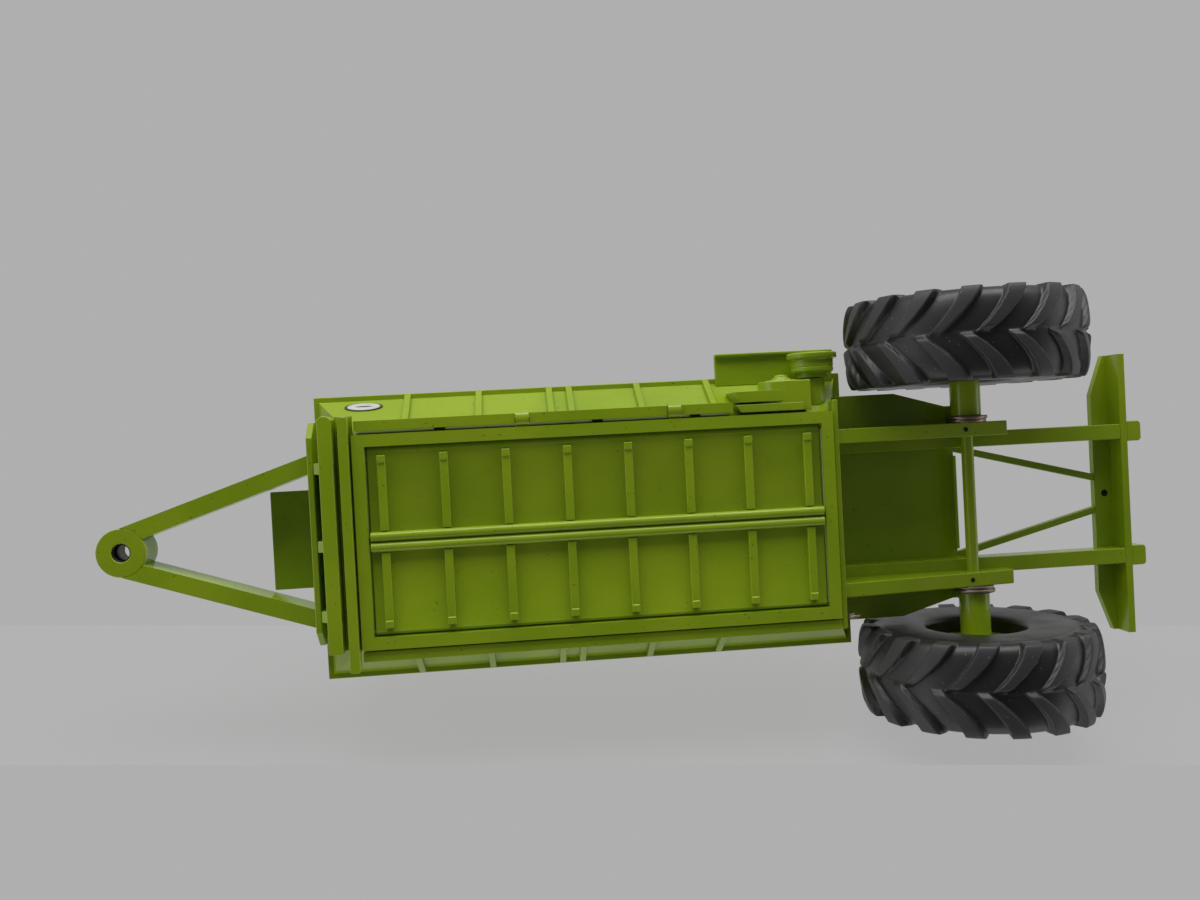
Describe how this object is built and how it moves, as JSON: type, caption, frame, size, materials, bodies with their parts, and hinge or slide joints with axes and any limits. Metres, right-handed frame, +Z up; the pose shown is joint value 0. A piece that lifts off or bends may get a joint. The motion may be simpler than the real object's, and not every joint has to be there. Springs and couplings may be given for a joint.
{
  "type": "gravity wagon",
  "caption": "Scale model of a two-wheeled farm hopper wagon with an A-frame drawbar, hinged ribbed belly doors, a sliding latch bar, a belt pulley and a tail angle.",
  "frame": {"origin": "on the ground under the middle of the overall length and width", "axes": "+X forward to the hitch eye, +Y to the wagon's left, +Z up"},
  "size_m": [0.2832, 0.1116, 0.0792],
  "materials": {
    "green_enamel": "thick glossy lime-green enamel over die-cast and folded metal",
    "tyre_rubber": "black moulded rubber, satin, with a fine mould line and dust",
    "washer_steel": "plain steel, dull and slightly browned",
    "badge": "silver-grey oval label with a dark outline and no lettering"
  },
  "bodies": {
    "wagon": {"axle_arm_left": "green_enamel", "axle_arm_right": "green_enamel", "axle_cap_left": "green_enamel", "axle_cap_right": "green_enamel", "axle_rod": "green_enamel", "axle_spacer_left": "green_enamel", "axle_spacer_right": "green_enamel", "axle_washers": "washer_steel", "chassis_rail_left": "green_enamel", "chassis_rail_right": "green_enamel", "corner_catch": "washer_steel", "drawbar_arm_left": "green_enamel", "drawbar_arm_right": "green_enamel", "drive_guard": "green_enamel", "end_plate": "green_enamel", "front_bar": "green_enamel", "front_plate": "green_enamel", "front_shelf": "green_enamel", "front_struts": "green_enamel", "gear_bracket_lower": "green_enamel", "gear_bracket_upper": "green_enamel", "gear_cup": "green_enamel", "gear_nut": "green_enamel", "hinge_bar": "green_enamel", "hinge_bar_ties": "green_enamel", "hinge_pins": "washer_steel", "hitch_eye": "green_enamel", "hopper_shell": "green_enamel", "latch_guide_plate": "green_enamel", "rear_deck": "green_enamel", "right_lip": "green_enamel", "rim_flange": "green_enamel", "shaft_boss": "green_enamel", "side_badge": "badge", "side_ribs_left": "green_enamel", "side_ribs_right": "green_enamel", "tail_angle": "green_enamel", "tail_brace_left": "green_enamel", "tail_brace_right": "green_enamel", "tail_stubs": "green_enamel", "top_rim": "green_enamel", "upper_box": "green_enamel", "upper_ribs_left": "green_enamel", "upper_ribs_right": "green_enamel"},
    "wheel_left": {"tyre_left": "tyre_rubber", "wheel_hub_left": "green_enamel"},
    "wheel_right": {"tyre_right": "tyre_rubber", "wheel_hub_right": "green_enamel"},
    "belly_frame": {"belly_frame": "green_enamel"},
    "left_door": {"left_door": "green_enamel", "left_door_ribs": "green_enamel", "left_door_lip": "green_enamel", "left_door_pins": "washer_steel"},
    "right_door": {"right_door": "green_enamel", "right_door_ribs": "green_enamel", "right_door_lip": "green_enamel", "right_door_pins": "washer_steel"},
    "latch_bar": {"latch_bar": "green_enamel"},
    "belt_drive": {"pulley": "green_enamel", "drive_shaft": "green_enamel"}
  },
  "joints": [
    {"name": "left_wheel_turn", "type": "hinge", "parent": "wagon", "child": "wheel_left", "pos_m": [-0.09, 0.04425, 0.032], "axis": [0, 1, 0], "continuous": true},
    {"name": "right_wheel_turn", "type": "hinge", "parent": "wagon", "child": "wheel_right", "pos_m": [-0.09, -0.04425, 0.032], "axis": [0, 1, 0], "continuous": true},
    {"name": "belly_frame_hinge", "type": "hinge", "parent": "wagon", "child": "belly_frame", "pos_m": [0.01125, 0.0292, 0.0234], "axis": [1, 0, 0], "range_deg": [0, 95]},
    {"name": "left_door_hinge", "type": "hinge", "parent": "belly_frame", "child": "left_door", "pos_m": [0.012, 0.02285, 0.0239], "axis": [1, 0, 0], "range_deg": [0, 55]},
    {"name": "right_door_hinge", "type": "hinge", "parent": "belly_frame", "child": "right_door", "pos_m": [0.012, -0.02285, 0.0239], "axis": [-1, 0, 0], "range_deg": [0, 55]},
    {"name": "latch_slide", "type": "slide", "parent": "wagon", "child": "latch_bar", "axis": [0, -1, 0], "range_m": [0, 0.018]},
    {"name": "pulley_turn", "type": "hinge", "parent": "wagon", "child": "belt_drive", "pos_m": [-0.0478, 0.038, 0.0322], "axis": [0, 1, 0], "continuous": true}
  ]
}
